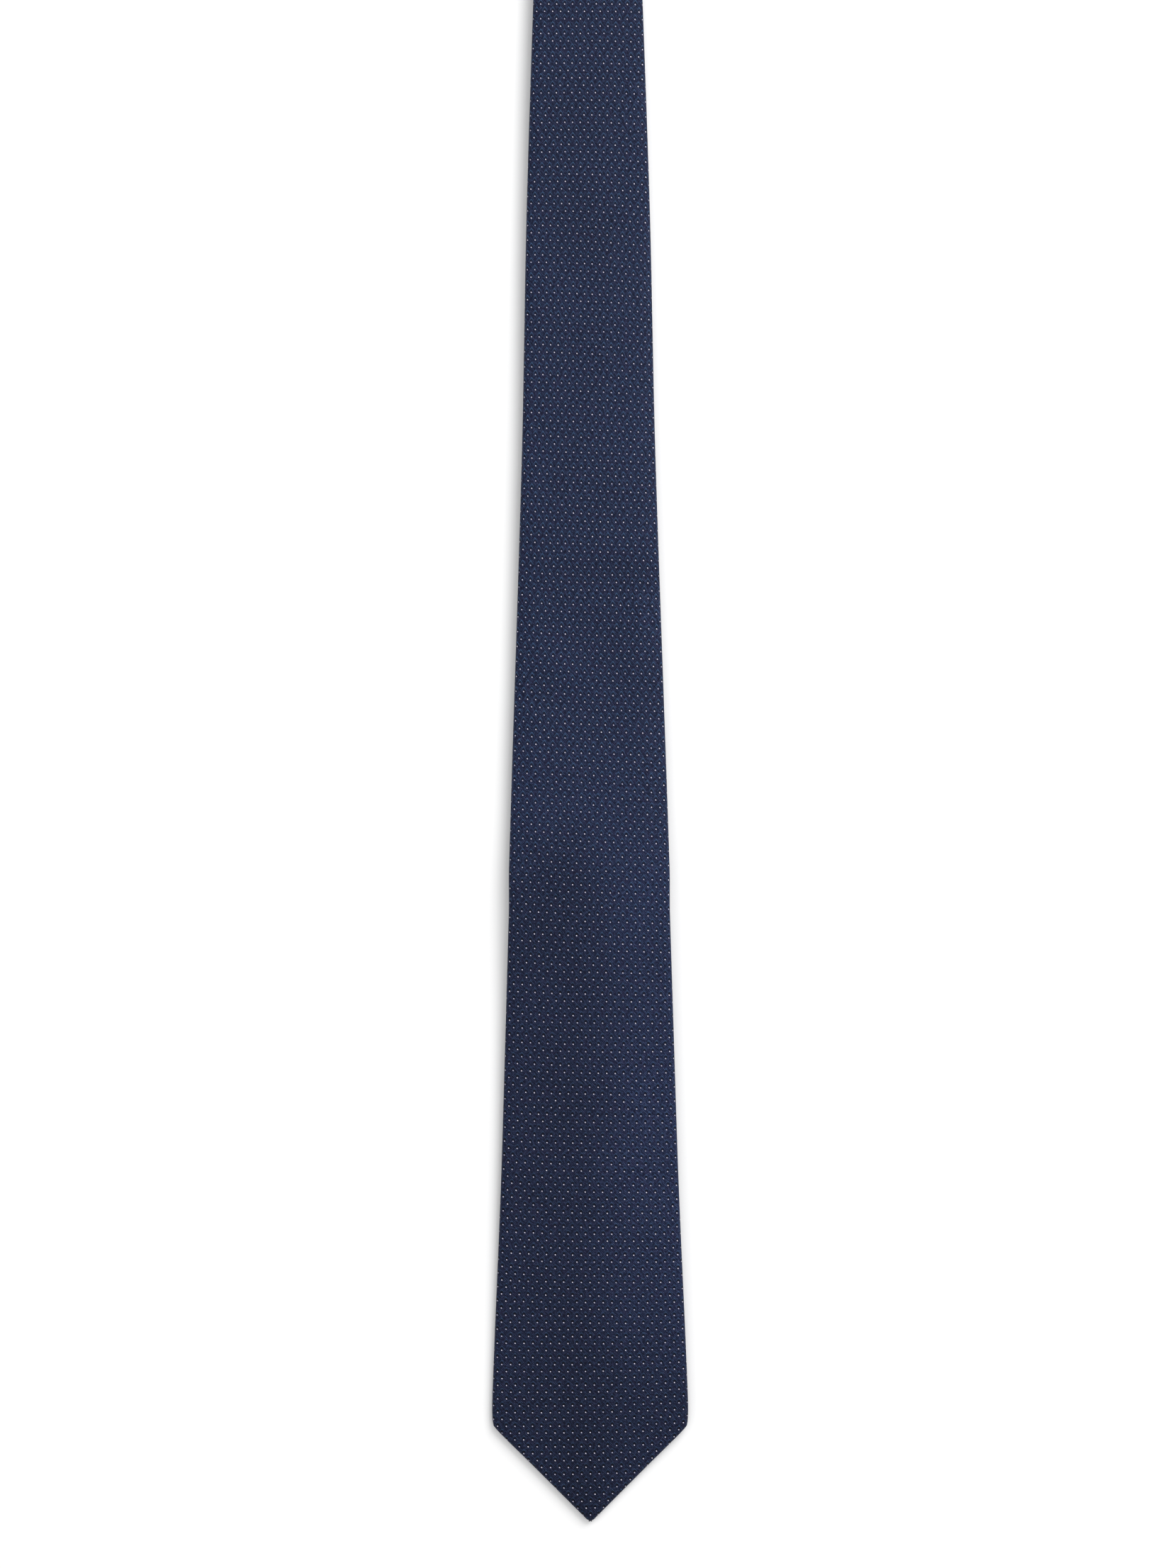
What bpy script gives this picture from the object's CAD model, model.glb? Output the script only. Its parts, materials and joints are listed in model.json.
import bmesh
import bpy
import json
import math
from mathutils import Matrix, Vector


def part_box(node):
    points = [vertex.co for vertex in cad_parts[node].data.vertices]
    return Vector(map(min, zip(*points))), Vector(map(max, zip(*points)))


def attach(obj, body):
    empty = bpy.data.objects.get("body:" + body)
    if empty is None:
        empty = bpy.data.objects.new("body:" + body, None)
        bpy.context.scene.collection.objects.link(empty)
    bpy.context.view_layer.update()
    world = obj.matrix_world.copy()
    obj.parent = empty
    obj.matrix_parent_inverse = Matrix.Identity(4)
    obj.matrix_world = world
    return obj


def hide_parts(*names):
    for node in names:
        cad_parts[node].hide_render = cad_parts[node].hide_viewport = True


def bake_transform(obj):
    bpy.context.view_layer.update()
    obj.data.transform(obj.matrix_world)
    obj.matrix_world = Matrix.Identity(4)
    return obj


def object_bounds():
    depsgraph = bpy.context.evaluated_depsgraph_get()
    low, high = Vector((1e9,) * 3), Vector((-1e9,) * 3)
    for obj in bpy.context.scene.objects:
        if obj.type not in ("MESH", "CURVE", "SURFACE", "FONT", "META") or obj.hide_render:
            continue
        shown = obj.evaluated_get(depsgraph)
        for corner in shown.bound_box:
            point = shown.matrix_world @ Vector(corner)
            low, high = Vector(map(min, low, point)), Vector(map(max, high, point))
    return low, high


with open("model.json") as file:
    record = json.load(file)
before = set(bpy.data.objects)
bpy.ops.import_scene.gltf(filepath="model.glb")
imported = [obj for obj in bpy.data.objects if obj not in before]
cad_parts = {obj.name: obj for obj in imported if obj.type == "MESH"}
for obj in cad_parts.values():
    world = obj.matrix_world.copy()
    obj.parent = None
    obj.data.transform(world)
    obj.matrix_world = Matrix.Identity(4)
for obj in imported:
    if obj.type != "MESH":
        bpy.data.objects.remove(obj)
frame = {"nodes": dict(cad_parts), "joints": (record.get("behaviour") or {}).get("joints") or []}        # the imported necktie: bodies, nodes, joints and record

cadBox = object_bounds()
scene = bpy.context.scene

# A silk necktie lying face up and folded double at the neck. X runs across it, Y along it towards
# the fold, Z is up. Lengths are in metres. "Along" is the distance on the middle of the cloth from
# the blade's point, over the blade leg, round the neck fold and back down the tail leg.


def readFrame():
    jointAt = {}
    for joint in frame["joints"]:
        jointAt[joint["name"]] = joint
    bladeLow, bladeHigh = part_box("blade_shell_end")
    upperLow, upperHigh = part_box("blade_shell_upper")
    tailLow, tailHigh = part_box("tail_shell_end")
    foldLow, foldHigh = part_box("neck_shell_front")
    foldOuter = foldHigh[2] / 2
    return {
        "joints": jointAt,
        "pointY": bladeLow[1],
        "bladeHalf": bladeHigh[0],
        "bladeHinge": (bladeHigh[1] + upperLow[1]) / 2 - bladeLow[1],
        "tailHinge": tailHigh[1] - bladeLow[1],
        "tailPoint": tailLow[1] - bladeLow[1],
        "tailHalf": tailHigh[0],
        "neckHalf": foldHigh[0],
        "thick": tailHigh[2],
        "overTail": upperLow[2],
        "foldOuter": foldOuter,
        "bladeLeg": cadBox[1][1] - foldOuter - bladeLow[1],
        "bladeSeam": (foldLow[1] + upperHigh[1]) / 2 - bladeLow[1],
        "tailSeam": (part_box("tail_shell_upper")[1][1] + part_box("neck_shell_back")[0][1]) / 2 - bladeLow[1],
    }


tie = readFrame()


# The run of the cloth
run = {
    "neckStraight": 0.200,    # neck of even width on the blade leg, before the fold
    "tailStraight": 0.190,    # and on the tail leg
    "foldRise": 0.100,        # the blade leg climbs to the fold over this length
    "flatEnd": 0.052,         # the blade's back leaves the table here
    "tackRise": (0.103, 0.0009),    # height of the back at the bar tack
    "keeperRise": (0.186, 0.0019),  # and at the keeper loop, which lies under it
    "soften": 0.014,          # half the length over which a change of slope is eased
    "pointRadius": 0.0016,    # the turned cloth rounds the point
    "cornerRadius": 0.0022,
    "hem": 0.0127,            # turned hem, measured along the tie from the point
    "closed": 0.00003,        # the slip-stitched edges nearly meet
    "openRound": 0.004,
    "easeFrom": (0.02, 0.045),
    "bladeTack": 0.103,
    "tailTack": 0.062,
}
foldMid = tie["foldOuter"] - tie["thick"] / 2
foldLength = math.pi * foldMid
tailEndAlong = tie["bladeLeg"] + foldLength + tie["bladeLeg"] - tie["tailPoint"]
tailHingeAlong = tie["bladeLeg"] + foldLength + tie["bladeLeg"] - tie["tailHinge"]


def smooth(value, low, high):
    share = min(1.0, max(0.0, (value - low) / (high - low)))
    return share * share * (3 - 2 * share)


def mix(low, high, share):
    return low + (high - low) * share


def throughPoints(value, points):    # an eased line through (place, height) points
    if value <= points[0][0]:
        return points[0][1]
    for (start, low), (end, high) in zip(points, points[1:]):
        if value <= end:
            return mix(low, high, smooth(value, start, end))
    return points[-1][1]


def straightThrough(value, points):
    if value <= points[0][0]:
        return points[0][1]
    for (start, low), (end, high) in zip(points, points[1:]):
        if value <= end:
            return mix(low, high, (value - start) / (end - start))
    return points[-1][1]


backLine = [
    (0, 0), (run["flatEnd"], 0), run["tackRise"], run["keeperRise"],
    (tie["bladeHinge"], tie["overTail"]), (tie["bladeLeg"] - run["foldRise"], tie["overTail"]),
    (tie["bladeLeg"] - 0.03, tie["foldOuter"] * 2 - tie["thick"]),
    (tie["bladeLeg"], tie["foldOuter"] * 2 - tie["thick"]),
]


def bladeBack(along):    # height of the blade leg's back, with its bends eased
    total = 0
    steps = 8
    for step in range(-steps, steps + 1):
        total += straightThrough(along + run["soften"] * step / steps, backLine)
    return total / (2 * steps + 1)


def middle(along):    # the middle of the cloth: Y, Z and the direction of travel
    if along <= tie["bladeLeg"]:
        height = bladeBack(along) + tie["thick"] / 2
        ahead = bladeBack(min(along + 0.001, tie["bladeLeg"])) - bladeBack(along - 0.001)
        return tie["pointY"] + along, height, 1.0, ahead / 0.002 if along < tie["bladeLeg"] - 0.002 else 0.0
    turned = along - tie["bladeLeg"]
    if turned < foldLength:
        angle = turned / foldMid
        y = tie["pointY"] + tie["bladeLeg"] + foldMid * math.sin(angle)
        return y, tie["foldOuter"] + foldMid * math.cos(angle), math.cos(angle), -math.sin(angle)
    back = turned - foldLength
    return tie["pointY"] + tie["bladeLeg"] - back, tie["thick"] / 2, -1.0, 0.0


def place(x, along, out):    # a point of the tie: across, along, and out of the middle to its face
    y, z, dy, dz = middle(along)
    size = math.hypot(dy, dz)
    return Vector((x, y - out * dz / size, z + out * dy / size))


widthEase = [(0.035, 0.0006), (0.14, -0.0004), (0.219, -0.0004), (0.236, 0.0), (0.38, -0.0004),
             (0.48, 0.0004), (0.60, 0.0)]    # the sewn edges wander a little


def pointedHalf(distance, half, straightFrom):    # half the width at a distance from a point
    radius = run["pointRadius"]
    side = mix(half, tie["neckHalf"], min(1, max(0, (distance - half) / (straightFrom - half))))
    recess = radius * (math.sqrt(2) - 1)
    if distance <= recess:
        return 0.0
    if distance < radius / math.sqrt(2):
        point = math.sqrt(max(0.0, radius ** 2 - (radius * math.sqrt(2) - distance) ** 2))
    else:
        point = distance
    gap = point - side
    soft = run["cornerRadius"] * 0.5
    return min(point, side) - soft * math.exp(-abs(gap) / (2 * soft)) * 0.5 * min(1, point / 0.01)


def halfWidth(along):
    if along < tie["bladeLeg"]:
        straightFrom = tie["bladeLeg"] - run["neckStraight"]
        ease = throughPoints(along, widthEase) * smooth(along, *run["easeFrom"])
        return pointedHalf(along, tie["bladeHalf"], straightFrom) + ease
    fromTail = tailEndAlong - along
    straightFrom = tie["bladeLeg"] - run["tailStraight"] - tie["tailPoint"]
    return pointedHalf(fromTail, tie["tailHalf"], straightFrom)


def openHalf(along):    # half the opening at the back that shows the tipping
    isBlade = along < tie["bladeLeg"]
    distance = along if isBlade else tailEndAlong - along
    half = tie["bladeHalf"] if isBlade else tie["tailHalf"]
    tack = run["bladeTack"] if isBlade else run["tailTack"]
    widest = half - run["hem"] + run["openRound"]
    rising = distance - run["hem"]
    falling = widest * (tack - distance) / (tack - half - run["openRound"])
    return max(run["closed"], min(rising, falling, widest))


# The silk
silk = {
    "thick": 0.00036,
    "rowStep": 0.0026,
    "frontColumns": 15,
    "edgeColumns": 7,
    "flapColumns": 8,
    "edgeRadius": 0.00148,
    "edgeShare": 0.8,         # at a point the rolled edges take up this much of the width
    "crown": 0.00035,         # the face stands a little fuller in the middle
    "crownEnds": (0.12, 0.01),    # and goes flat over this stretch before the fold
    "underLap": 0.0007,       # the flaps turn in this far from the middle
    "turnIn": 0.0003,
    "overhangDroop": 0.0011,  # the blade's edges sink beside the narrower tail under it
    "overTailEnds": (0.48, 0.62),
    "droopFrom": (0.017, 0.030),
    "endTilt": 0.0011,        # the free end leans: its right edge lies a little higher
    "tiltStarts": (0.0, 0.05),
    "tiltEnds": (0.15, 0.30),
    "ripple": 0.00012,        # faint unevenness of the pressed face
    "rippleEnds": (0.05, 0.01),
    "slantRun": (0.004, 0.060),    # a slanting end is eased out over this stretch
    "sharp": 48,              # degrees between faces that leave a crisp edge
    "merge": 0.000004,
}

# Soft marks pressed into the face: along, x, half length, half width, angle in degrees, height
marks = [
    (0.343, -0.001, 0.016, 0.0030, 4, -0.00030),
    (0.350, -0.001, 0.020, 0.0040, 4, 0.00022),
    (0.315, -0.015, 0.016, 0.0050, -36, 0.00030),
    (0.299, -0.012, 0.018, 0.0060, -36, -0.00040),
    (0.128, 0.012, 0.014, 0.020, 0, 0.00045),
    (0.226, 0.000, 0.060, 0.0075, 0, -0.00020),
    (0.452, 0.004, 0.012, 0.020, 18, 0.00022),
    (0.560, -0.004, 0.014, 0.024, -12, 0.00025),
    (0.055, -0.014, 0.020, 0.012, 40, -0.00035),
]


# Where the silk was rolled, pressed or creased its threads lie another way and look darker or
# lighter: the same columns, the last one a share of the colour
napMarks = [
    (0.405, 0.000, 0.050, 0.016, 0, 0.06),
    (0.343, -0.001, 0.018, 0.0050, 4, -0.10),
    (0.315, -0.015, 0.018, 0.0060, -36, 0.08),
    (0.299, -0.012, 0.020, 0.0070, -36, -0.07),
    (0.305, 0.012, 0.012, 0.022, 0, -0.07),
    (0.500, 0.000, 0.014, 0.060, 0, -0.05),
    (0.128, 0.014, 0.010, 0.022, 0, 0.06),
    (0.236, 0.014, 0.018, 0.016, 0, 0.13),
    (0.285, 0.000, 0.035, 0.045, 0, 0.09),
]
restingEnd = {    # the free end lies on the table, leaning away from the window on its left
    "from": (0.215, 0.262),
    "pointFrom": (0.03, 0.10),
    "leftFrom": (-0.008, 0.016),
    "rightFrom": (0.008, 0.022),
    "leftShade": 0.22,
    "rightShine": 0.07,
    "pointShade": 0.24,
    "edgeShine": 0.04,
}


def softMarks(markList, x, along):
    total = 0.0
    for markAlong, markX, halfLong, halfWide, degrees, height in markList:
        dx, dy = x - markX, along - markAlong
        if abs(dy) > 0.15:
            continue
        turn = math.radians(degrees)
        lengthwise = (dx * math.cos(turn) + dy * math.sin(turn)) / halfLong
        sideways = (dy * math.cos(turn) - dx * math.sin(turn)) / halfWide
        total += height * math.exp(-lengthwise ** 2 - sideways ** 2)
    return total


def beforeFold(along, start, end):    # 1 on the blade, eased to 0 between two distances from the fold
    return 1 - smooth(along, tie["bladeLeg"] - start, tie["bladeLeg"] - end)


def relief(x, along):    # how far the face stands out of true
    if along > tie["bladeLeg"] - silk["rippleEnds"][1]:
        return 0.0
    total = softMarks(marks, x, along)
    total += silk["ripple"] * math.sin(along * 47 + x * 60) * math.sin(along * 29 - x * 45 + 1.3)
    return total * beforeFold(along, *silk["rippleEnds"])


def nap(x, along):    # the silk's lightness by how its threads lie
    free = 1 - smooth(along, *restingEnd["from"])
    point = 1 - smooth(along, *restingEnd["pointFrom"])
    shade = 1 + softMarks(napMarks, x, along)
    shade += restingEnd["edgeShine"] * (x / max(0.01, halfWidth(along))) ** 2
    shade -= restingEnd["leftShade"] * free * (1 - smooth(x, *restingEnd["leftFrom"]))
    shade += restingEnd["rightShine"] * free * smooth(x, *restingEnd["rightFrom"]) * (1 - point)
    shade -= restingEnd["pointShade"] * point * (0.3 + 0.7 * smooth(x, -0.02, 0.01))
    return shade


def crown(along):    # the face is fuller in the middle, but flat at the fold and under the tail
    return silk["crown"] * beforeFold(along, *silk["crownEnds"])


def sway(x, along):    # the whole thickness leans, droops or lies a little proud of the table
    lift = 0.0
    half = tie["bladeHalf"]
    if along < tie["bladeLeg"] - run["neckStraight"]:
        overTail = smooth(along, tie["tailPoint"] - 0.01, tie["tailPoint"] + 0.03)
        overTail *= 1 - smooth(along, *silk["overTailEnds"])
        lift -= silk["overhangDroop"] * smooth(abs(x), *silk["droopFrom"]) * overTail
        lean = (1 - smooth(along, *silk["tiltEnds"])) * smooth(along, *silk["tiltStarts"])
        lift += silk["endTilt"] * lean * (x + half) / (2 * half)
    return lift


def sectionColumns():    # where each column lies: part of the section, share
    front = [("front", step / silk["frontColumns"]) for step in range(silk["frontColumns"])]
    edge = [("edge", step / silk["edgeColumns"]) for step in range(silk["edgeColumns"] + 1)]
    flap = [("flap", (step + 1) / silk["flapColumns"]) for step in range(silk["flapColumns"])]
    turned = [("turned", 0.5), ("turned", 1.0)]
    return front + edge + flap + turned


def sectionPoint(part, share, along, slope):    # x and height of one column, on the right half
    half = halfWidth(along)
    radius = silk["edgeRadius"]
    reach = min(radius * slope, half * silk["edgeShare"])
    scale = reach / (radius * slope)
    straight = half - reach
    if part == "front":
        x = straight * share
        return x, radius * scale ** 0.5 + crown(along) * (1 - (x / max(half, 1e-6)) ** 2) * scale
    if part == "edge":
        angle = math.pi * share
        return straight + reach * math.sin(angle), radius * scale ** 0.5 * math.cos(angle)
    inner = min(openHalf(along), straight)
    if part == "flap":
        return mix(straight, inner, share), -radius * scale ** 0.5
    lift = (tie["thick"] / 2 - silk["underLap"]) * scale
    return inner + silk["turnIn"] * share, mix(-radius * scale ** 0.5, -lift, share)


def edgeSlope(along):
    step = 0.0005
    change = abs(halfWidth(along + step) - halfWidth(along - step)) / (2 * step)
    return math.sqrt(1 + min(1.0, change) ** 2)


def rowsBetween(start, end, step):    # closer at points and bends
    rows, at = [], start
    fineStart, fineEnd = start < 0.01, end > tailEndAlong - 0.01
    while at < end - step * 0.4:
        rows.append(at)
        near = min(at - start if fineStart else 1, end - at if fineEnd else 1)
        share = 0.25 if near < 0.008 else 0.5 if near < 0.04 else 1.0
        if min(abs(at - tie["bladeHinge"]), abs(at - tailHingeAlong)) < 0.022:
            share = min(share, max(0.4, 0.001 / step))
        at += step * share
    rows.append(end)
    return rows


# How the weave lies on the blade: along, its width and its length against the loom's; then
# along, the fall of its rows to the right, and how much they bow
weaveLie = [
    (0.000, 1.085, 1.070), (0.082, 1.082, 1.066), (0.143, 1.045, 1.040), (0.185, 1.030, 1.010),
    (0.267, 1.020, 1.000), (0.369, 0.935, 0.953), (0.440, 0.926, 0.977), (0.497, 0.946, 0.985),
    (0.640, 1.000, 1.000), (2.000, 1.000, 1.000),
]
rowLie = [
    (0.000, -0.026, -0.40), (0.052, -0.018, -0.43), (0.085, 0.012, -0.60), (0.119, 0.019, -0.60),
    (0.152, 0.013, -0.62), (0.185, 0.028, -0.32), (0.218, 0.042, -0.35), (0.251, 0.040, -0.12),
    (0.284, 0.040, -0.24), (0.317, 0.037, -0.42), (0.351, 0.032, -0.50), (0.384, 0.039, -0.03),
    (0.417, 0.047, 0.31), (0.450, 0.048, 0.95), (0.483, 0.029, 1.00), (0.516, 0.014, 0.62),
    (0.600, 0.008, 0.00), (2.000, 0.008, 0.00),
]


def lieAt(along, column, lies=weaveLie):
    return straightThrough(along, [(entry[0], entry[column]) for entry in lies])


weaveStep = 0.005
weaveRun = [0.0]
for count in range(int(tailEndAlong / weaveStep) + 2):    # cloth run from the point, weave stretch counted
    weaveRun.append(weaveRun[-1] + lieAt((count + 0.5) * weaveStep, 2) * weaveStep)


def patternPlace(x, along):    # where a point lies on the cloth as it left the loom
    count = int(max(0.0, along) / weaveStep)
    reach = mix(weaveRun[count], weaveRun[count + 1], max(0.0, along) / weaveStep - count)
    return x / lieAt(along, 1), reach + lieAt(along, 1, rowLie) * x + lieAt(along, 2, rowLie) * x * x


def finishMesh(obj):    # the modifiers' result becomes the piece's own plain mesh
    depsgraph = bpy.context.evaluated_depsgraph_get()
    mesh = bpy.data.meshes.new_from_object(obj.evaluated_get(depsgraph))
    obj.modifiers.clear()
    old = obj.data
    obj.data = mesh
    bpy.data.meshes.remove(old)
    mesh.name = obj.name
    return obj


def sharpen(obj):    # cut edges stay crisp, everything else is smooth
    for polygon in obj.data.polygons:
        polygon.use_smooth = True
    obj.data.set_sharp_from_angle(angle=math.radians(silk["sharp"]))
    return obj


def onTie(x, along, out):
    point = place(x, along, out)
    point.z += sway(x, along)
    return point


# A section of (x, out, share of the relief) points swept along rows, with its weave laid out flat
def sweep(name, rows, sectionAt, material, closed=False, wall=0.0, slants=(0, 0), placeAt=onTie):
    points, uvs, naps = [], [], []
    start, end = rows[0], rows[-1]
    near, far = silk["slantRun"]
    for row in rows:
        section = sectionAt(row)
        reach, total, previous = [], 0.0, None
        for x, out, share in section:    # distance round the section
            if previous:
                total += math.hypot(x - previous[0], out - previous[1])
            previous = (x, out)
            reach.append(total)
        centre = reach[len(reach) // 2]
        for (x, out, share), distance in zip(section, reach):
            along = row + slants[1] * x * smooth(row, end - far, end - near)
            along += slants[0] * x * (1 - smooth(row, start + near, start + far))
            points.append(placeAt(x, along, out + relief(x, along) * share))
            uvs.append(patternPlace(distance - centre, along))
            naps.append(nap(x, along))
    width = len(section)
    faces = []
    for row in range(len(rows) - 1):
        for column in range(width if closed else width - 1):
            first = row * width + column
            second = row * width + (column + 1) % width
            faces.append((first, second, second + width, first + width))
    if closed and not wall:
        faces.append(tuple(range(width))[::-1])
        faces.append(tuple(range((len(rows) - 1) * width, len(rows) * width)))
    mesh = bpy.data.meshes.new(name)
    mesh.from_pydata([tuple(point) for point in points], [], faces)
    layer = mesh.uv_layers.new(name="weave")
    for loop in mesh.loops:
        layer.data[loop.index].uv = uvs[loop.vertex_index]
    mesh.attributes.new("nap", "FLOAT", "POINT").data.foreach_set("value", naps)
    mesh.materials.append(material)
    obj = bpy.data.objects.new(name, mesh)
    scene.collection.objects.link(obj)
    if wall:
        modifier = obj.modifiers.new("wall", "SOLIDIFY")
        modifier.thickness = wall
        modifier.offset = -1.0
        modifier.use_even_offset = False
        finishMesh(obj)
    tidy = bmesh.new()
    tidy.from_mesh(obj.data)
    bmesh.ops.remove_doubles(tidy, verts=tidy.verts, dist=silk["merge"])
    bmesh.ops.recalc_face_normals(tidy, faces=tidy.faces)
    tidy.to_mesh(obj.data)
    tidy.free()
    return sharpen(obj)


def silkSection(row):
    slope = edgeSlope(row)
    columns = sectionColumns()
    order = [(-1, part, share) for part, share in reversed(columns[1:])]
    order += [(1, part, share) for part, share in columns]
    section = []
    for side, part, share in order:
        x, out = sectionPoint(part, share, row, slope)
        section.append((side * x, out, 1.0 if part == "front" else 0.5 if out > 0 else 0.0))
    return section


def silkTube(name, start, end, material, slants=(0, 0), step=silk["rowStep"]):
    rows = rowsBetween(start, end, step)
    return sweep(name, rows, silkSection, material, wall=silk["thick"], slants=slants)


# The wool interlining that gives the tie its body
lining = {
    "inset": 0.0007,
    "least": 0.0004,            # half width at a point
    "top": 0.00100,
    "back": -0.00100,
    "backAtPoint": -0.00058,    # thinner here, to leave room for the tipping
    "thinTo": (0.128, 0.150),
    "step": 0.005,
    "columns": 14,
}


def stripSection(half, top, bottom, turn, columns, corners):    # a flat strip with rounded sides
    angles = [math.pi * step / corners for step in range(1, corners)]
    section = [(mix(-half + turn, half - turn, step / columns), top, 1.0) for step in range(columns + 1)]
    for angle in angles:
        out = mix(top, bottom, (1 - math.cos(angle)) / 2)
        section.append((half - turn + turn * math.sin(angle), out, 0.5))
    section += [(mix(half - turn, -half + turn, step / columns), bottom, 0.0) for step in range(columns + 1)]
    for angle in angles:
        out = mix(bottom, top, (1 - math.cos(angle)) / 2)
        section.append((-half + turn - turn * math.sin(angle), out, 0.5))
    return section


def liningSection(row):
    fromPoint = min(row, tailEndAlong - row)
    half = max(lining["least"], halfWidth(row) - lining["inset"] * edgeSlope(row))
    thin = smooth(half, 0.0, 0.004)
    squeeze = mix(0.3, 1.0, thin)
    top = lining["top"] * squeeze
    back = mix(lining["backAtPoint"], lining["back"], smooth(fromPoint, *lining["thinTo"])) * squeeze
    section = []
    roundOff = min((top - back) / 2, half * 0.5)
    for x, out, share in stripSection(half, top, back, roundOff, lining["columns"], 4):
        if share == 1.0:
            out += crown(row) * (1 - (x / half) ** 2) * thin * 0.9
        section.append((x, out, share))
    return section


def liningSlab(name, start, end, material, step=lining["step"]):
    rows = rowsBetween(start, end, step)
    return sweep(name, rows, liningSection, material, closed=True)


# The tipping: a plain silk lining behind each point, framed by the turned hem
tipping = {
    "inset": 0.0011,
    "out": -0.00078,
    "thick": 0.00020,
    "slack": 0.00008,
    "columns": 24,
    "step": 0.0022,
}


def tippingSection(row):
    half = max(0.0003, halfWidth(row) - tipping["inset"] * edgeSlope(row))
    thin = smooth(half, 0.0, 0.004)
    section = []
    for step in range(tipping["columns"] + 1):
        x = mix(-half, half, step / tipping["columns"])
        slack = math.sin(row * 310 + x * 90) * math.sin(x * 230 - row * 80) * tipping["slack"]
        section.append((x, mix(0.3, 1.0, thin) * (tipping["out"] + slack), 0.0))
    return section[::-1]


def tippingSheet(name, start, end, material):
    rows = rowsBetween(start, end, tipping["step"])
    return sweep(name, rows, tippingSection, material, wall=tipping["thick"])


# Labels are strips of tape with a soft folded edge each side
labels = {
    "gap": 0.00006,
    "thick": 0.00030,
    "careThick": 0.00022,
    "careCurl": 0.00030,      # the care label's free end hangs off the blade a little
    "columns": 10,
    "step": 0.002,
}


def tapeSection(half, top, thick):
    section = stripSection(half, top, top - thick, thick / 2, labels["columns"], 5)
    return [(x, out, 0.0) for x, out, share in section]


def alongOf(node):    # the stretch of the blade leg that a part covers
    low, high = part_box(node)
    return low[1] - tie["pointY"], high[1] - tie["pointY"]


def makerLabel(material):
    start, end = alongOf("maker_label")
    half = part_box("maker_label")[1][0]
    top = -tie["thick"] / 2 - labels["gap"]
    rows = rowsBetween(start, end, labels["step"])
    return sweep("makerLabel", rows, lambda row: tapeSection(half, top, labels["thick"]), material,
                 closed=True)


def careLabel(material):
    start, end = alongOf("care_label")
    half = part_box("care_label")[1][0]
    rows = rowsBetween(start, end, labels["step"])

    def section(row):
        hang = labels["careCurl"] * (1 - smooth(row, start, start + 0.018))
        return tapeSection(half, -tie["thick"] / 2 - labels["gap"] - hang, labels["careThick"])
    return sweep("careLabel", rows, section, material, closed=True)


# The keeper: a flattened loop of the same silk, sewn behind the blade for the tail to pass through
keeper = {
    "strip": 0.00036,
    "columns": 16,
    "sideSteps": 9,
    "hemBulge": 0.00004,
    "skin": 0.00002,          # held inside the CAD strip by this much
    "step": 0.0015,
}


def keeperLoop(material):
    inner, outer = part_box("keeper_inner"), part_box("keeper_outer")
    start, end = alongOf("keeper_inner")
    half, top, bottom = inner[1][0], inner[1][2] - keeper["skin"], outer[0][2] + keeper["skin"]
    rows = rowsBetween(start, end, keeper["step"])

    def section(row):
        bulge = keeper["hemBulge"] * math.sin(math.pi * (row - start) / (end - start))
        strip = stripSection(half, top, bottom, (top - bottom) / 2, keeper["columns"], keeper["sideSteps"])
        return [(x, out - bulge if share == 0.0 else out, 0.0) for x, out, share in strip]

    def flat(x, along, out):
        return Vector((x, tie["pointY"] + along, out))
    return sweep("keeperLoop", rows, section, material, closed=True, wall=keeper["strip"], placeAt=flat)


def rgb(code):    # an sRGB hex colour, made linear
    values = []
    for start in (0, 2, 4):
        value = int(code[start:start + 2], 16) / 255
        values.append(value / 12.92 if value <= 0.04045 else ((value + 0.055) / 1.055) ** 2.4)
    return (*values, 1.0)


# One node. Its settings and named inputs come first, or just its operation; then its inputs in order
def addNode(tree, kind, settings=None, *inputs):
    node = tree.nodes.new(kind)
    named = {"operation": settings} if isinstance(settings, str) else settings or {}
    for key in [key for key in named if hasattr(node, key)]:
        setattr(node, key, named[key])
    given = list(zip([socket for socket in node.inputs if socket.enabled], inputs))
    given += [(node.inputs[key], named[key]) for key in named if not hasattr(node, key)]
    for socket, value in given:
        if isinstance(value, bpy.types.Node):
            value = next(output for output in value.outputs if output.enabled)
        if isinstance(value, bpy.types.NodeSocket):
            tree.links.new(value, socket)
        else:
            socket.default_value = value
    return node


def newMaterial(name):
    material = bpy.data.materials.new(name)
    material.use_nodes = True
    material.node_tree.nodes.clear()
    return material, material.node_tree


maths, vectors = "ShaderNodeMath", "ShaderNodeVectorMath"
joined, parted = "ShaderNodeCombineXYZ", "ShaderNodeSeparateXYZ"
noise, mapping = "ShaderNodeTexNoise", "ShaderNodeMapping"
blending, fading = "ShaderNodeMix", "ShaderNodeMapRange"
paint = {"data_type": "RGBA"}                       # blending, set to mix colours
eased = {"interpolation_type": "SMOOTHSTEP"}        # fading, set to ease in and out


def clothPlace(tree):    # where a point lies on the flat cloth, in millimetres
    return addNode(tree, vectors, "SCALE", addNode(tree, "ShaderNodeUVMap", {"uv_map": "weave"}), 1000.0)


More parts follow.
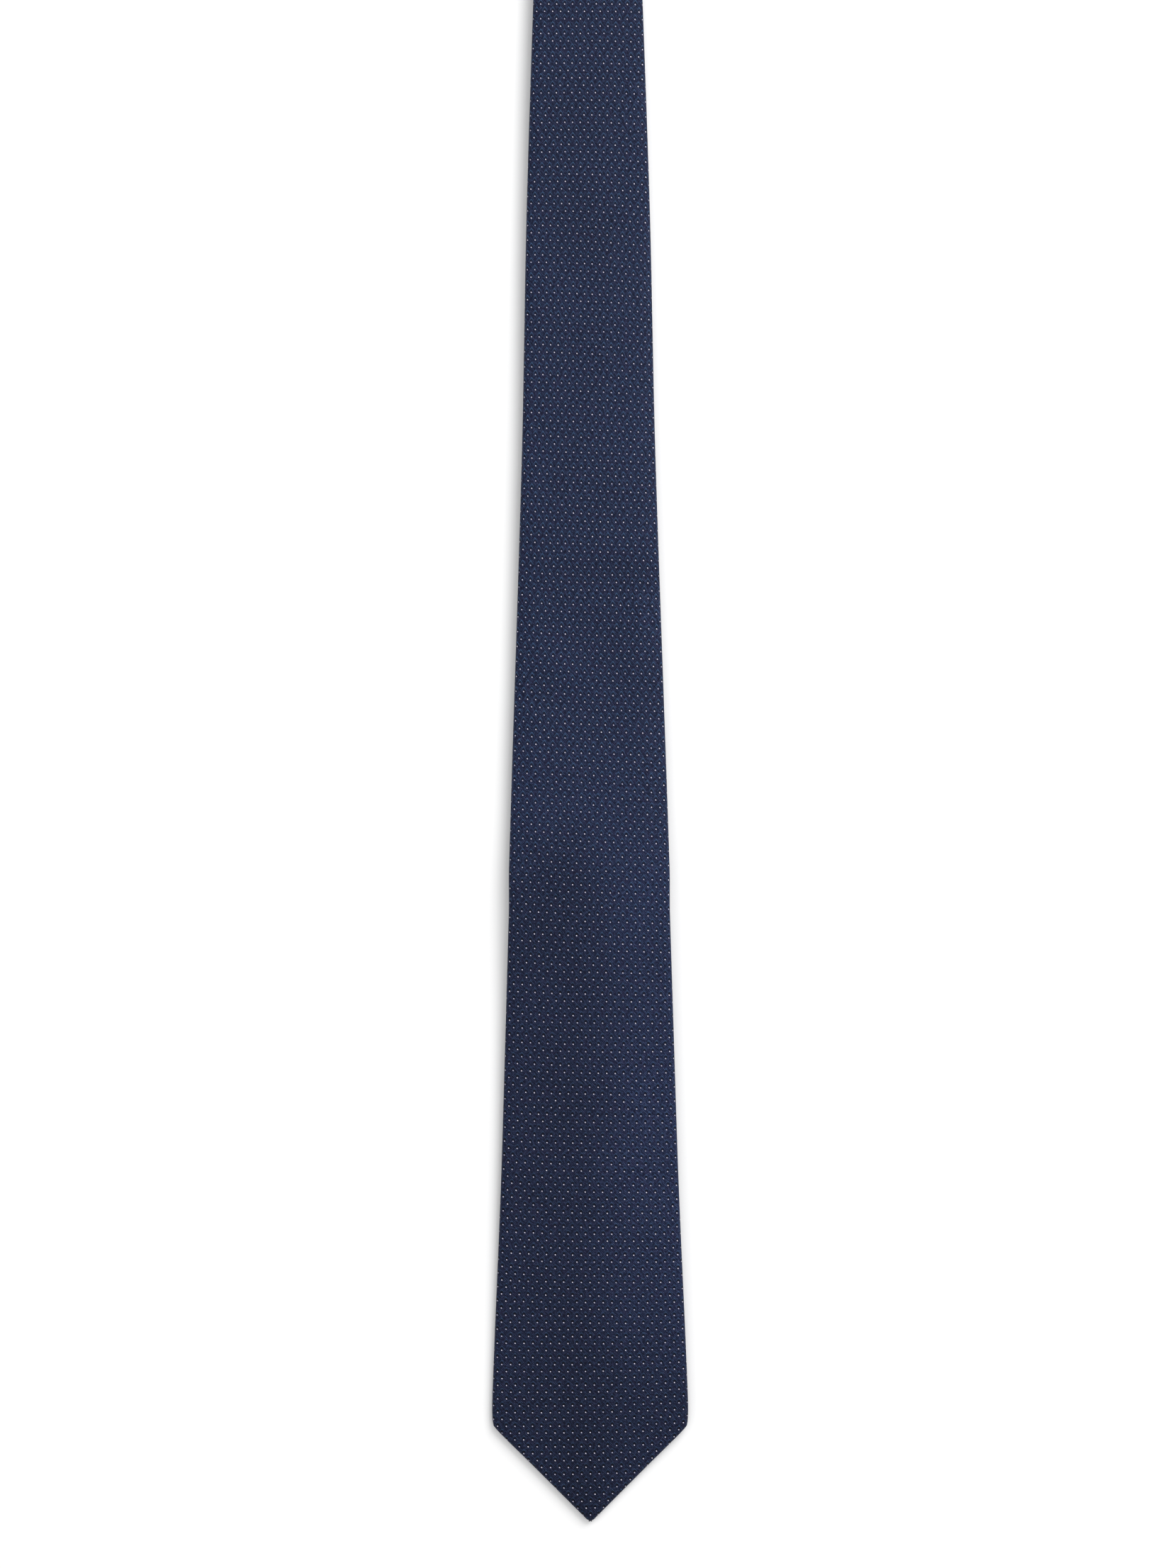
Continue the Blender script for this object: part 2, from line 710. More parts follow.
weave = {
    "acrossPitch": 2.94,     # mm between the dots of a row
    "rowPitch": 2.63,        # mm between rows, which lie half a pitch apart
    "dot": (0.185, 0.25),    # half width and half height of a dot, mm
    "dotTurn": 0.55,         # its lean, radians
    "dotUp": 0.26,           # its place in the row, as a share of the pitch
    "dotEdge": (1.12, 0.78),
    "hollow": (0.70, 0.60),  # half width and half height of the dark hollow above it
    "hollowAt": (0.04, 0.62),
    "hollowEdge": (1.25, 0.35),
    "hollowShare": (0.80, -0.30),     # near the point, and the change from there on
    "chevronSlope": 1.35,
    "chevronTop": 1.0,
    "chevronEdge": (0.36, 0.10),
    "chevronWide": (1.15, 0.35),
    "chevronFoot": (-0.75, -0.15),
    "chevronShare": (0.42, 0.33),
    "pressed": (160, 330),   # mm from the point: nearer it the hollows are deeper, the chevrons flatter
    "ground": "1e2641",
    "violet": "232541",
    "slate": "3c4869",
    "deep": "0c1228",
    "dark": "060818",
    "pale": "46658c",
    "dotColour": "cecad9",
    "dotDim": "a9a8c0",
    "rib": 0.64,             # mm between twill lines, four times a real silk's, so that they show
    "ribShare": 0.11,
    "wobble": 0.55,          # mm the lines wander
    "picks": 3, "ends": 4,   # threads drawn to each repeat of the dots, a third of the real number
    "checkShare": 0.45,
    "floatTurn": -0.785,     # the loose threads lean with the twill
    "floatSize": (1.0, 0.50, 1.0),
    "shade": (0.58, 0.21),   # the least of it, and what slow cloudiness adds
    "pointShade": (1.14, -0.14),
    "bump": (0.35, 0.0002),
    "rough": 0.42,
}


# Jacquard silk: smooth twisted threads give a soft sheen; each dot is a float of pale weft with
# a dark hollow and a blue chevron above it
def jacquardSilk(name):
    material, tree = newMaterial(name)
    flat = clothPlace(tree)
    drift = addNode(tree, noise, {"Vector": flat, "Scale": 0.03, "Detail": 1.0}).outputs["Color"]
    drift = addNode(tree, vectors, "SUBTRACT", drift, (0.5, 0.5, 0.5))
    cloth = addNode(tree, vectors, "ADD", flat, drift)
    across, along = addNode(tree, parted, {}, cloth).outputs[:2]

    rows = addNode(tree, maths, "DIVIDE", along, weave["rowPitch"])
    row = addNode(tree, maths, "FLOOR", rows)
    odd = addNode(tree, maths, "FLOORED_MODULO", row, 2.0)
    steps = addNode(tree, maths, "DIVIDE", across, weave["acrossPitch"])
    steps = addNode(tree, maths, "MULTIPLY_ADD", odd, 0.5, steps)
    x = addNode(tree, maths, "SUBTRACT", addNode(tree, maths, "FRACT", steps), 0.5)
    x = addNode(tree, maths, "MULTIPLY", x, weave["acrossPitch"])
    y = addNode(tree, maths, "SUBTRACT", addNode(tree, maths, "FRACT", rows), weave["dotUp"])
    y = addNode(tree, maths, "MULTIPLY", y, weave["rowPitch"])

    fromDot = addNode(tree, mapping, {    # the dot, stood upright and one unit in radius
        "vector_type": "TEXTURE", "Rotation": (0.0, 0.0, weave["dotTurn"]), "Scale": (*weave["dot"], 1.0)},
        addNode(tree, joined, {}, x, y))
    fromDot = addNode(tree, vectors, "LENGTH", fromDot)
    dot = addNode(tree, fading, eased, fromDot, *weave["dotEdge"])

    rise = addNode(tree, maths, "SUBTRACT", y, weave["hollowAt"][1])
    side = addNode(tree, maths, "SUBTRACT", x, weave["hollowAt"][0])
    side = addNode(tree, maths, "ABSOLUTE", side)
    hollow = addNode(tree, vectors, "DIVIDE",
                     addNode(tree, joined, {}, side, rise), (*weave["hollow"], 1.0))
    hollow = addNode(tree, vectors, "DOT_PRODUCT", hollow, hollow)
    hollow = addNode(tree, fading, eased, hollow, *weave["hollowEdge"])
    ridge = addNode(tree, maths, "MULTIPLY_ADD", side, weave["chevronSlope"], rise)
    ridge = addNode(tree, maths, "SUBTRACT", ridge, weave["chevronTop"])
    ridge = addNode(tree, maths, "ABSOLUTE", ridge)
    chevron = addNode(tree, maths, "MULTIPLY",
                      addNode(tree, fading, eased, ridge, *weave["chevronEdge"]),
                      addNode(tree, fading, eased, side, *weave["chevronWide"]))
    chevron = addNode(tree, maths, "MULTIPLY", chevron,
                      addNode(tree, fading, eased, rise, *weave["chevronFoot"]))

    wobble = addNode(tree, noise, {"Vector": cloth, "Scale": 0.9, "Detail": 2.0})
    diagonal = addNode(tree, maths, "MULTIPLY_ADD", wobble, weave["wobble"], along)
    diagonal = addNode(tree, maths, "ADD", across, diagonal)
    rib = addNode(tree, maths, "MULTIPLY", diagonal, 2 * math.pi / weave["rib"])
    rib = addNode(tree, maths, "SINE", rib)
    leaning = addNode(tree, mapping, {
        "vector_type": "TEXTURE", "Rotation": (0.0, 0.0, weave["floatTurn"]),
        "Scale": weave["floatSize"]}, cloth)
    floats = addNode(tree, noise, {"Vector": leaning, "Scale": 1.0, "Detail": 1.5})
    thread = addNode(tree, noise, {"Vector": cloth, "Scale": 2.6, "Detail": 2.0, "Roughness": 0.6})
    patches = addNode(tree, noise, {"Vector": cloth, "Scale": 0.30, "Detail": 2.0})
    slow = addNode(tree, noise, {"Vector": cloth, "Scale": 0.035, "Detail": 2.0})
    cell = addNode(tree, joined, {}, addNode(tree, maths, "FLOOR", steps), row)
    each = addNode(tree, "ShaderNodeTexWhiteNoise", {"noise_dimensions": "2D"}, cell)
    picks = addNode(tree, maths, "MULTIPLY", along, 2 * math.pi * weave["picks"] / weave["rowPitch"])
    ends = addNode(tree, maths, "MULTIPLY", across, 2 * math.pi * weave["ends"] / weave["acrossPitch"])
    check = addNode(tree, maths, "MULTIPLY",
                    addNode(tree, maths, "SINE", picks), addNode(tree, maths, "SINE", ends))
    pressed = addNode(tree, fading, eased, along, *weave["pressed"])

    lift = addNode(tree, maths, "MULTIPLY_ADD", thread, 0.35, floats)
    lift = addNode(tree, maths, "MULTIPLY_ADD", rib, weave["ribShare"], lift)
    share = addNode(tree, fading, eased, patches, 0.45, 0.65)
    colour = addNode(tree, blending, paint, share, rgb(weave["ground"]), rgb(weave["violet"]))
    share = addNode(tree, fading, eased, lift, 0.66, 0.98)
    colour = addNode(tree, blending, paint, share, colour, rgb(weave["slate"]))
    share = addNode(tree, fading, eased, lift, 0.70, 0.42)
    colour = addNode(tree, blending, paint, share, colour, rgb(weave["deep"]))
    least, change = weave["chevronShare"]
    share = addNode(tree, maths, "MULTIPLY_ADD", pressed, change, least)
    share = addNode(tree, maths, "MULTIPLY", chevron, share)
    colour = addNode(tree, blending, paint, share, colour, rgb(weave["pale"]))
    most, change = weave["hollowShare"]
    share = addNode(tree, maths, "MULTIPLY_ADD", pressed, change, most)
    share = addNode(tree, maths, "MULTIPLY", hollow, share)
    colour = addNode(tree, blending, paint, share, colour, rgb(weave["dark"]))

    lie = addNode(tree, "ShaderNodeAttribute", {"attribute_name": "nap"}).outputs["Fac"]
    least, cloudy = weave["shade"]
    shade = addNode(tree, maths, "MULTIPLY_ADD", slow, cloudy, least)
    shade = addNode(tree, maths, "MULTIPLY", shade, lie)
    grain = addNode(tree, maths, "MULTIPLY_ADD", check, weave["checkShare"], 1.0)
    shade = addNode(tree, maths, "MULTIPLY", shade, grain)
    most, change = weave["pointShade"]
    nearPoint = addNode(tree, maths, "MULTIPLY_ADD", pressed, change, most)
    shade = addNode(tree, maths, "MULTIPLY", shade, nearPoint)
    colour = addNode(tree, vectors, "SCALE", colour, shade)
    dotShade = addNode(tree, blending, paint, each, rgb(weave["dotDim"]), rgb(weave["dotColour"]))
    colour = addNode(tree, blending, paint, dot, colour, dotShade)

    height = addNode(tree, maths, "MULTIPLY", thread, 0.4)
    height = addNode(tree, maths, "MULTIPLY_ADD", rib, 0.12, height)
    height = addNode(tree, maths, "MULTIPLY_ADD", dot, 0.7, height)
    height = addNode(tree, maths, "MULTIPLY_ADD", hollow, -0.35, height)
    strength, depth = weave["bump"]
    bump = addNode(tree, "ShaderNodeBump", {"Strength": strength, "Distance": depth, "Height": height})
    rough = addNode(tree, maths, "MULTIPLY_ADD", thread, 0.18, weave["rough"])
    rough = addNode(tree, maths, "MULTIPLY_ADD", dot, -0.08, rough)
    shader = addNode(tree, "ShaderNodeBsdfPrincipled", {
        "Base Color": colour, "Roughness": rough, "Normal": bump, "IOR": 1.45, "Specular IOR Level": 0.1,
        "Sheen Weight": 0.02, "Sheen Roughness": 0.4, "Sheen Tint": (0.75, 0.82, 1.0, 1.0)})
    addNode(tree, "ShaderNodeOutputMaterial", {}, shader)
    return material


wool = {
    "shadow": "cfc8b8",
    "light": "efeae0",
    "warp": 0.9,             # mm between threads, a real blanket cloth's
    "weft": 1.1,
    "netHeight": 0.3,
    "bump": (0.5, 0.0003),
}


# Felted wool interlining: a matt, hairy, off-white blanket cloth with a loose plain weave
def woolMaterial(name):
    material, tree = newMaterial(name)
    cloth = clothPlace(tree)
    hair = addNode(tree, noise, {
        "Vector": cloth, "Scale": 2.2, "Detail": 5.0, "Roughness": 0.7, "Distortion": 1.2})
    across, along = addNode(tree, parted, {}, cloth).outputs[:2]
    warp = addNode(tree, maths, "MULTIPLY", across, 2 * math.pi / wool["warp"])
    weft = addNode(tree, maths, "MULTIPLY", along, 2 * math.pi / wool["weft"])
    net = addNode(tree, maths, "MULTIPLY",
                  addNode(tree, maths, "SINE", warp), addNode(tree, maths, "SINE", weft))
    share = addNode(tree, fading, eased, hair, 0.3, 0.7)
    colour = addNode(tree, blending, paint, share, rgb(wool["shadow"]), rgb(wool["light"]))
    height = addNode(tree, maths, "MULTIPLY_ADD", net, wool["netHeight"], hair)
    strength, depth = wool["bump"]
    bump = addNode(tree, "ShaderNodeBump", {"Strength": strength, "Distance": depth, "Height": height})
    shader = addNode(tree, "ShaderNodeBsdfPrincipled", {
        "Base Color": colour, "Normal": bump, "Roughness": 0.95, "Specular IOR Level": 0.15,
        "Sheen Weight": 0.3, "Sheen Roughness": 0.6})
    addNode(tree, "ShaderNodeOutputMaterial", {}, shader)
    return material


tippingSatin = {"base": "161b33", "light": "2b3358", "rough": 0.34,
                "thread": 0.42, "bars": 0.16}    # thread in mm
careSatin = {"base": "d9d7d0", "light": "f3f2ee", "thread": 0.5, "bars": 0.12, "rough": 0.36}


# Woven satin: long floats across the cloth give a smooth, directional gloss with faint barring
def satinMaterial(name, satin):
    material, tree = newMaterial(name)
    cloth = clothPlace(tree)
    stretched = addNode(tree, mapping, {"Scale": (0.12, 1.6, 1.0)}, cloth)
    floats = addNode(tree, noise, {"Vector": stretched, "Scale": 1.4, "Detail": 4.0, "Roughness": 0.65})
    across, along = addNode(tree, parted, {}, cloth).outputs[:2]
    diagonal = addNode(tree, maths, "MULTIPLY_ADD", across, 0.35, along)
    rib = addNode(tree, maths, "MULTIPLY", diagonal, 2 * math.pi / satin["thread"])
    rib = addNode(tree, maths, "SINE", rib)
    shade = addNode(tree, maths, "MULTIPLY_ADD", rib, satin["bars"], floats)
    share = addNode(tree, fading, eased, shade, 0.25, 0.8)
    colour = addNode(tree, blending, paint, share, rgb(satin["base"]), rgb(satin["light"]))
    bump = addNode(tree, "ShaderNodeBump", {"Strength": 0.3, "Distance": 0.00012, "Height": shade})
    rough = addNode(tree, maths, "MULTIPLY_ADD", floats, 0.15, satin["rough"])
    shader = addNode(tree, "ShaderNodeBsdfPrincipled", {
        "Base Color": colour, "Roughness": rough, "Normal": bump, "IOR": 1.5, "Specular IOR Level": 0.4,
        "Sheen Weight": 0.1, "Sheen Roughness": 0.35})
    addNode(tree, "ShaderNodeOutputMaterial", {}, shader)
    return material


damask = {
    "ground": "1b2036",
    "light": "2a3150",
    "frame": "b9bccb",
    "frameInset": 3.0,       # mm
    "frameEdge": (0.45, 0.25),
    "warp": 0.32,            # mm between threads
    "weft": 0.26,
}


# Damask woven label: flat polyester satin with a narrow woven frame and no lettering
def labelMaterial(name, halfWide, middleAlong, halfLong):
    material, tree = newMaterial(name)
    centre = (0.0, -1000 * (tie["pointY"] + middleAlong), 0.0)
    centred = addNode(tree, mapping, {"Location": centre, "Scale": (1000.0, 1000.0, 1000.0)},
                      addNode(tree, "ShaderNodeTexCoord").outputs["Object"])
    across, along = addNode(tree, parted, {}, centred).outputs[:2]
    fromSide = addNode(tree, maths, "SUBTRACT", halfWide * 1000, addNode(tree, maths, "ABSOLUTE", across))
    fromEnd = addNode(tree, maths, "SUBTRACT", halfLong * 1000, addNode(tree, maths, "ABSOLUTE", along))
    woven = addNode(tree, maths, "MINIMUM", fromSide, fromEnd)
    woven = addNode(tree, maths, "SUBTRACT", woven, damask["frameInset"])
    woven = addNode(tree, maths, "ABSOLUTE", woven)
    woven = addNode(tree, fading, eased, woven, *damask["frameEdge"])
    warp = addNode(tree, maths, "MULTIPLY", across, 2 * math.pi / damask["warp"])
    weft = addNode(tree, maths, "MULTIPLY", along, 2 * math.pi / damask["weft"])
    net = addNode(tree, maths, "MULTIPLY",
                  addNode(tree, maths, "SINE", warp), addNode(tree, maths, "SINE", weft))
    fleck = addNode(tree, noise, {"Vector": centred, "Scale": 1.1, "Detail": 3.0})
    share = addNode(tree, fading, eased, fleck, 0.35, 0.7)
    colour = addNode(tree, blending, paint, share, rgb(damask["ground"]), rgb(damask["light"]))
    colour = addNode(tree, blending, paint, woven, colour, rgb(damask["frame"]))
    shade = addNode(tree, maths, "MULTIPLY_ADD", net, 0.12, 1.0)
    colour = addNode(tree, vectors, "SCALE", colour, shade)
    height = addNode(tree, maths, "MULTIPLY", woven, 0.8)
    height = addNode(tree, maths, "MULTIPLY_ADD", net, 0.4, height)
    bump = addNode(tree, "ShaderNodeBump", {"Strength": 0.4, "Distance": 0.00015, "Height": height})
    shader = addNode(tree, "ShaderNodeBsdfPrincipled", {
        "Base Color": colour, "Normal": bump, "Roughness": 0.5, "IOR": 1.5, "Specular IOR Level": 0.35})
    addNode(tree, "ShaderNodeOutputMaterial", {}, shader)
    return material


twistThread = {"dark": "2b3153", "light": "626c98", "turn": 0.35}    # mm for each half turn of the plies


# Silk buttonhole twist: two plies wound together, a fine diagonal light and dark along the thread
def threadMaterial(name):
    material, tree = newMaterial(name)
    spot = addNode(tree, "ShaderNodeTexCoord").outputs["Object"]
    spot = addNode(tree, vectors, "SCALE", spot, 1000.0)
    across, along = addNode(tree, parted, {}, spot).outputs[:2]
    twist = addNode(tree, maths, "ADD", across, along)
    twist = addNode(tree, maths, "MULTIPLY", twist, 2 * math.pi / twistThread["turn"])
    twist = addNode(tree, maths, "SINE", twist)
    fuzz = addNode(tree, noise, {"Vector": spot, "Scale": 3.0, "Detail": 2.0})
    share = addNode(tree, maths, "MULTIPLY_ADD", twist, 0.25, fuzz)
    share = addNode(tree, fading, eased, share, 0.2, 0.85)
    colour = addNode(tree, blending, paint, share, rgb(twistThread["dark"]), rgb(twistThread["light"]))
    bump = addNode(tree, "ShaderNodeBump", {"Strength": 0.4, "Distance": 0.0001, "Height": twist})
    shader = addNode(tree, "ShaderNodeBsdfPrincipled", {
        "Base Color": colour, "Normal": bump, "Roughness": 0.38, "IOR": 1.5, "Specular IOR Level": 0.45,
        "Sheen Weight": 0.15})
    addNode(tree, "ShaderNodeOutputMaterial", {}, shader)
    return material


# Hand and machine stitches: a thread bead on each step of a path
stitches = {
    "slip": {"Spacing": 0.0078, "Length": 0.0030, "Thickness": 0.00026, "Slant": 1.05, "Wander": 0.16},
    "hem": {"Spacing": 0.0034, "Length": 0.0019, "Thickness": 0.00024, "Slant": 0.55, "Wander": 0.14},
    "tack": {"Spacing": 0.00040, "Length": 0.0050, "Thickness": 0.00046, "Slant": 1.571, "Wander": 0.03},
    "edge": {"Spacing": 0.0022, "Length": 0.0017, "Thickness": 0.00022, "Slant": 0.0, "Wander": 0.04},
    "sink": 0.00004,
}


def stitchTree():
    tree = bpy.data.node_groups.new("stitchRun", "GeometryNodeTree")
    for name, kind in (("Path", "Geometry"), ("Spacing", "Float"), ("Length", "Float"),
                       ("Thickness", "Float"), ("Slant", "Float"), ("Wander", "Float"),
                       ("Seed", "Int"), ("Thread", "Material")):
        tree.interface.new_socket(name, in_out="INPUT", socket_type="NodeSocket" + kind)
    tree.interface.new_socket("Stitches", in_out="OUTPUT", socket_type="NodeSocketGeometry")
    given = addNode(tree, "NodeGroupInput").outputs
    curve = addNode(tree, "GeometryNodeMeshToCurve", {}, given["Path"])
    points = addNode(tree, "GeometryNodeCurveToPoints", {"mode": "LENGTH"}, curve, given["Spacing"])
    straight = addNode(tree, "FunctionNodeAlignRotationToVector", {
        "axis": "X", "Vector": points.outputs["Tangent"]})
    less = addNode(tree, maths, "MULTIPLY", given["Wander"], -1.0)
    wander = addNode(tree, "FunctionNodeRandomValue", {
        "data_type": "FLOAT", "Seed": given["Seed"]}, less, given["Wander"])
    lean = addNode(tree, maths, "ADD", given["Slant"], wander)
    spin = addNode(tree, "FunctionNodeAxisAngleToRotation", {}, (0.0, 0.0, 1.0), lean)
    turned = addNode(tree, "FunctionNodeRotateRotation", {"rotation_space": "LOCAL"}, straight, spin)
    bead = addNode(tree, "GeometryNodeMeshUVSphere", {}, 6, 6, 0.5)
    size = addNode(tree, joined, {}, given["Length"], given["Thickness"], given["Thickness"])
    placed = addNode(tree, "GeometryNodeInstanceOnPoints", {
        "Instance": bead, "Rotation": turned, "Scale": size}, points)
    real = addNode(tree, "GeometryNodeRealizeInstances", {}, placed)
    painted = addNode(tree, "GeometryNodeSetMaterial", {"Material": given["Thread"]}, real)
    addNode(tree, "NodeGroupOutput", {}, painted)
    return tree


def stitchRun(name, paths, kind, thread, seed=1):
    points, edges = [], []
    for path in paths:
        edges += [(len(points) + step, len(points) + step + 1) for step in range(len(path) - 1)]
        points += [tuple(point) for point in path]
    mesh = bpy.data.meshes.new(name)
    mesh.from_pydata(points, edges, [])
    obj = bpy.data.objects.new(name, mesh)
    scene.collection.objects.link(obj)
    modifier = obj.modifiers.new("stitches", "NODES")
    modifier.node_group = stitchGroup
    values = {**stitches[kind], "Seed": seed, "Thread": thread}
    for item in stitchGroup.interface.items_tree:
        if item.item_type == "SOCKET" and item.in_out == "INPUT" and item.name in values:
            modifier[item.identifier] = values[item.name]
    finishMesh(obj)
    return sharpen(obj)


def backPath(start, end, x=0.0, out=None, step=0.004):
    out = -tie["thick"] / 2 - stitches["sink"] if out is None else out
    rows = rowsBetween(start, end, step)
    return [onTie(x if not callable(x) else x(row), row, out) for row in rows]


labelStart, labelEnd = alongOf("maker_label")
silkCloth = jacquardSilk("jacquardPinDotSilk")
woolCloth = woolMaterial("feltedWoolInterlining")
tippingCloth = satinMaterial("wovenSatinTippingSilk", tippingSatin)
careTape = satinMaterial("wovenPolyesterSatinTape", careSatin)
labelCloth = labelMaterial("damaskWovenLabel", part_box("maker_label")[1][0],
                           (labelStart + labelEnd) / 2, (labelEnd - labelStart) / 2)
silkThread = threadMaterial("twistedSilkThread")
print("materials made")

stitchGroup = stitchTree()
foldStart, foldEnd = tie["bladeLeg"], tie["bladeLeg"] + foldLength
seamAlong = foldEnd + tie["bladeLeg"] - tie["tailSeam"]
tipStart = run["pointRadius"] * (math.sqrt(2) - 1)
seamGap, spliceGap, foldStep = 0.0001, 0.0006, 0.0006

bladeSilk = silkTube("bladeSilk", tipStart, tie["bladeSeam"] - seamGap, silkCloth, slants=(0, 1))
neckFront = silkTube("neckSilkFront", tie["bladeSeam"] + seamGap, foldStart, silkCloth, slants=(1, 0))
neckFold = silkTube("neckSilkFold", foldStart, foldEnd, silkCloth, step=foldStep)
neckBack = silkTube("neckSilkBack", foldEnd, seamAlong - seamGap, silkCloth, slants=(0, 1))
tailSilk = silkTube("tailSilk", seamAlong + seamGap, tailEndAlong - tipStart, silkCloth, slants=(1, 0))
print("silk shell made")

liningStart, tippingStart = 0.0022, 0.0026
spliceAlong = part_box("blade_interlining_upper")[1][1] - tie["pointY"]
tailSpliceAlong = foldEnd + tie["bladeLeg"] - (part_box("tail_interlining_upper")[1][1] - tie["pointY"])
bladeWool = liningSlab("bladeInterlining", liningStart, spliceAlong, woolCloth)
neckWool = liningSlab("neckInterliningFront", spliceAlong + spliceGap, foldStart, woolCloth)
foldWool = liningSlab("neckInterliningFold", foldStart, foldEnd, woolCloth, step=foldStep)
backWool = liningSlab("neckInterliningBack", foldEnd, tailSpliceAlong - spliceGap, woolCloth)
tailWool = liningSlab("tailInterlining", tailSpliceAlong, tailEndAlong - liningStart, woolCloth)
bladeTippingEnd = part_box("blade_tipping")[1][1] - tie["pointY"]
bladeLine = tippingSheet("bladeTipping", tippingStart, bladeTippingEnd, tippingCloth)
tailLineStart = foldEnd + tie["bladeLeg"] - (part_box("tail_tipping")[1][1] - tie["pointY"])
tailLine = tippingSheet("tailTipping", tailLineStart, tailEndAlong - tippingStart, tippingCloth)
maker = makerLabel(labelCloth)
care = careLabel(careTape)
loop = keeperLoop(silkCloth)
print("linings, tippings, labels and keeper made")


def hemPaths(isBlade):
    paths = []
    for side in (-1, 1):
        path = []
        start, reach = run["hem"] + 0.0012, 0.020 if isBlade else 0.009
        for step in range(13):
            distance = start + reach * step / 12
            row = distance if isBlade else tailEndAlong - distance
            path.append(onTie(side * (openHalf(row) + 0.0004), row, -tie["thick"] / 2 - stitches["sink"]))
        paths.append(path)
    return paths


tackAlong = alongOf("blade_bar_tack")
tailTackLow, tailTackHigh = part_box("tail_bar_tack")
tailTack = [foldEnd + tie["bladeLeg"] - (corner[1] - tie["pointY"]) for corner in (tailTackHigh, tailTackLow)]
bladeRun = backPath(tackAlong[1] + 0.004, tie["bladeSeam"] - 0.012)
bladeSlip = stitchRun("bladeSlipStitches", [bladeRun], "slip", silkThread, 3)
neckRunFront = backPath(tie["bladeSeam"] + 0.012, foldStart - 0.002)
neckSlipFront = stitchRun("neckSlipStitchesFront", [neckRunFront], "slip", silkThread, 5)
neckRunBack = backPath(foldEnd + 0.002, seamAlong - 0.012)
neckSlipBack = stitchRun("neckSlipStitchesBack", [neckRunBack], "slip", silkThread, 7)
tailRun = backPath(seamAlong + 0.012, tailTack[0] - 0.004)
tailSlip = stitchRun("tailSlipStitches", [tailRun], "slip", silkThread, 9)
bladeHem = stitchRun("bladeHemStitches", hemPaths(True), "hem", silkThread, 11)
tailHem = stitchRun("tailHemStitches", hemPaths(False), "hem", silkThread, 13)
bladeTack = stitchRun("bladeBarTack", [backPath(*tackAlong, step=0.001)], "tack", silkThread, 15)
tailTackPiece = stitchRun("tailBarTack", [backPath(*tailTack, step=0.001)], "tack", silkThread, 17)
labelOut = -tie["thick"] / 2 - labels["gap"] - labels["thick"]
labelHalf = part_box("maker_label")[1][0] - 0.0012
labelRows = [backPath(labelStart + 0.001, labelEnd - 0.001, side * labelHalf, labelOut, 0.001)
             for side in (-1, 1)]
labelStitch = stitchRun("makerLabelStitches", labelRows, "edge", silkThread, 19)
keeperLow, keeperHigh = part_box("keeper_stitch")
keeperRow = [Vector((0.0, y, keeperHigh[2])) for y in (keeperLow[1], keeperHigh[1])]
keeperStitch = stitchRun("keeperStitches", [keeperRow], "hem", silkThread, 21)
print("stitches made")

# A studio table from above: a wide soft lamp from the right and a little from the head of the
# tie, and a pale room all round
studio = {
    "viewTall": 0.5652,                        # the stretch of table that the camera sees
    "viewFromPoint": 0.2662,                   # the middle of the view above the blade's point
    "cameraHeight": 3.0,
    "aside": -0.0006,
    "turn": -0.0016,                           # the tie lies a hair off straight in the view
    "sensor": 36,                              # mm
    "floorHalf": 8.0,
    "floorDrop": 0.0001,                       # just clear of the cloth
    "paper": "fafafa",
    "room": 0.82,
    "lampAway": (0.85, 0.95, 1.0),             # from the middle of the view
    "lampSize": 1.3,
    "lampPower": 21,
}


def stageMaterial():
    material, tree = newMaterial("whiteTablePaper")
    shader = addNode(tree, "ShaderNodeBsdfPrincipled", {
        "Base Color": rgb(studio["paper"]), "Roughness": 0.9, "Specular IOR Level": 0.1})
    addNode(tree, "ShaderNodeOutputMaterial", {}, shader)
    return material


def intoScene(name, data, spot=(0, 0, 0)):
    obj = bpy.data.objects.new(name, data)
    obj.location = spot
    scene.collection.objects.link(obj)
    return obj


def buildStudio():
    middleY = tie["pointY"] + studio["viewFromPoint"]
    half, drop = studio["floorHalf"], -studio["floorDrop"]
    floorMesh = bpy.data.meshes.new("table")
    corners = [(-half, -half, drop), (half, -half, drop), (half, half, drop), (-half, half, drop)]
    floorMesh.from_pydata(corners, [], [(0, 1, 2, 3)])
    floorMesh.materials.append(stageMaterial())
    intoScene("table", floorMesh)
    world = bpy.data.worlds.new("room")
    world.use_nodes = True
    background = world.node_tree.nodes["Background"]
    background.inputs["Color"].default_value = (1, 1, 1, 1)
    background.inputs["Strength"].default_value = studio["room"]
    scene.world = world
    softbox = bpy.data.lights.new("softboxRight", "AREA")
    softbox.shape = "RECTANGLE"
    softbox.size = softbox.size_y = studio["lampSize"]
    softbox.energy = studio["lampPower"]
    x, y, z = studio["lampAway"]
    lamp = intoScene("softboxRight", softbox, (x, middleY + y, z))
    lamp.rotation_euler = Vector((-x, -y, -z)).to_track_quat("-Z", "Y").to_euler()
    camera = bpy.data.cameras.new("camera")
    camera.sensor_fit = "VERTICAL"
    camera.sensor_height = studio["sensor"]
    camera.lens = studio["sensor"] * studio["cameraHeight"] / studio["viewTall"]
    camera.clip_end = 50
    eye = intoScene("camera", camera, (studio["aside"], middleY, studio["cameraHeight"]))
    eye.rotation_euler = (0, 0, studio["turn"])
    scene.camera = eye
    scene.view_settings.view_transform = "Standard"


buildStudio()
print("studio built")

# Which body each piece follows. The bends lie mostly on the moving side of each hinge, so that
# little dips into what is underneath.
bends = {"before": 0.017, "after": 0.007, "foldTop": 0.007, "foldFoot": 0.003}
hingeY = tie["pointY"] + tie["bladeHinge"]
tailHingeY = tie["pointY"] + tie["tailHinge"]


